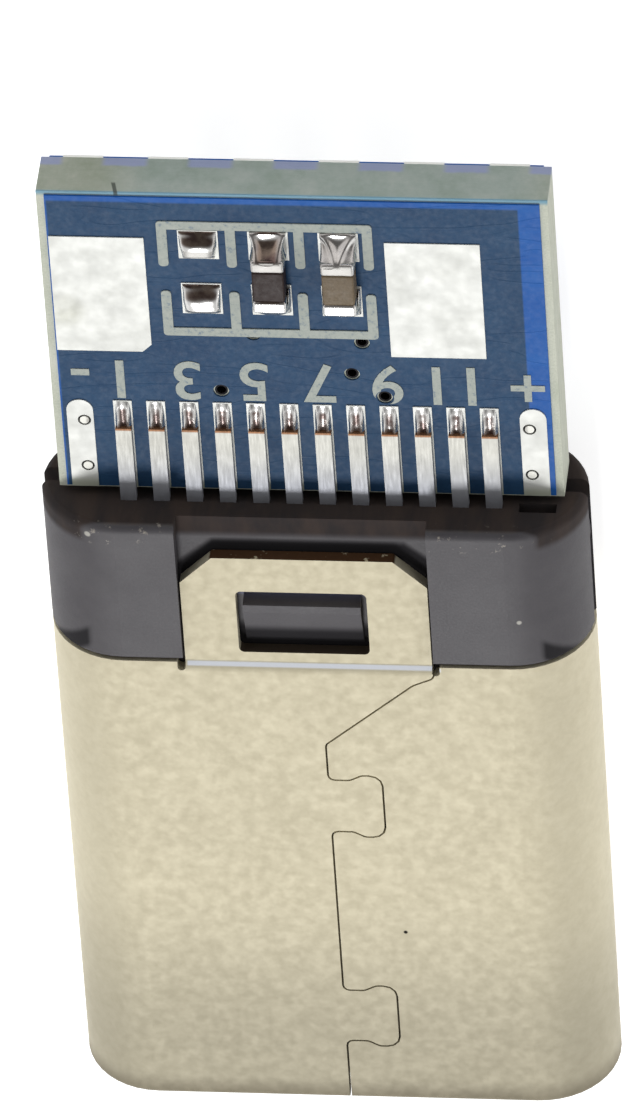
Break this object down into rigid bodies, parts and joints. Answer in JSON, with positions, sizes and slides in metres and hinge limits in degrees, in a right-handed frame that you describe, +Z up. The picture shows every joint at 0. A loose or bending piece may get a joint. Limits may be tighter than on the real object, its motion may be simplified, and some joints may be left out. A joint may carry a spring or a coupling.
{
  "type": "usb-c plug",
  "caption": "Solderable reversible 24-contact plug: rolled metal shell with dovetailed seam, black housing halves, latch, springs, contacts and a small blue circuit board.",
  "frame": {"origin": "middle of the plug's whole length and width, on the surface that the flats of the shell and housing lie on", "axes": "+Y from the mouth to the board's free end, +Z up out of the printed side of the board, +X to the right"},
  "size_m": [0.0082, 0.0174, 0.0024],
  "materials": {
    "shell_metal": "satin",
    "housing_plastic": "satin",
    "insulator_plastic": "matte",
    "latch_metal": "satin",
    "spring_metal": "satin",
    "contact_metal": "satin",
    "laminate": "matte",
    "blue_mask": "satin",
    "tinned_copper": "satin",
    "solder": "gloss",
    "chip_dark": "satin",
    "chip_tan": "satin",
    "print_ink": "matte",
    "via_copper": "satin"
  },
  "bodies": {
    "root": {"shell": "shell_metal", "upper_housing": "housing_plastic", "lower_housing": "housing_plastic", "front_insulator": "insulator_plastic", "latch_plate": "latch_metal", "upper_ground_spring": "spring_metal", "lower_ground_spring": "spring_metal", "circuit_board": "laminate", "upper_mask": "blue_mask", "lower_mask": "blue_mask", "ground_pad": "tinned_copper", "supply_pad": "tinned_copper", "earth_pads": "tinned_copper", "upper_contact_pads": "tinned_copper", "lower_contact_pads": "tinned_copper", "wire_pads": "tinned_copper", "chip_pads": "tinned_copper", "resistor": "chip_dark", "resistor_ends": "solder", "capacitor": "chip_tan", "capacitor_ends": "solder", "chip_solder": "solder", "spare_pad_solder": "solder", "upper_tail_solder": "solder", "lower_tail_solder": "solder", "earth_via_solder": "solder", "via_barrels": "via_copper", "printed_frame": "print_ink", "upper_contact_1": "contact_metal", "upper_contact_2": "contact_metal", "upper_contact_3": "contact_metal", "upper_contact_4": "contact_metal", "upper_contact_5": "contact_metal", "upper_contact_6": "contact_metal", "upper_contact_7": "contact_metal", "upper_contact_8": "contact_metal", "upper_contact_9": "contact_metal", "upper_contact_10": "contact_metal", "upper_contact_11": "contact_metal", "upper_contact_12": "contact_metal", "lower_contact_1": "contact_metal", "lower_contact_2": "contact_metal", "lower_contact_3": "contact_metal", "lower_contact_4": "contact_metal", "lower_contact_5": "contact_metal", "lower_contact_8": "contact_metal", "lower_contact_9": "contact_metal", "lower_contact_10": "contact_metal", "lower_contact_11": "contact_metal", "lower_contact_12": "contact_metal"}
  },
  "joints": []
}
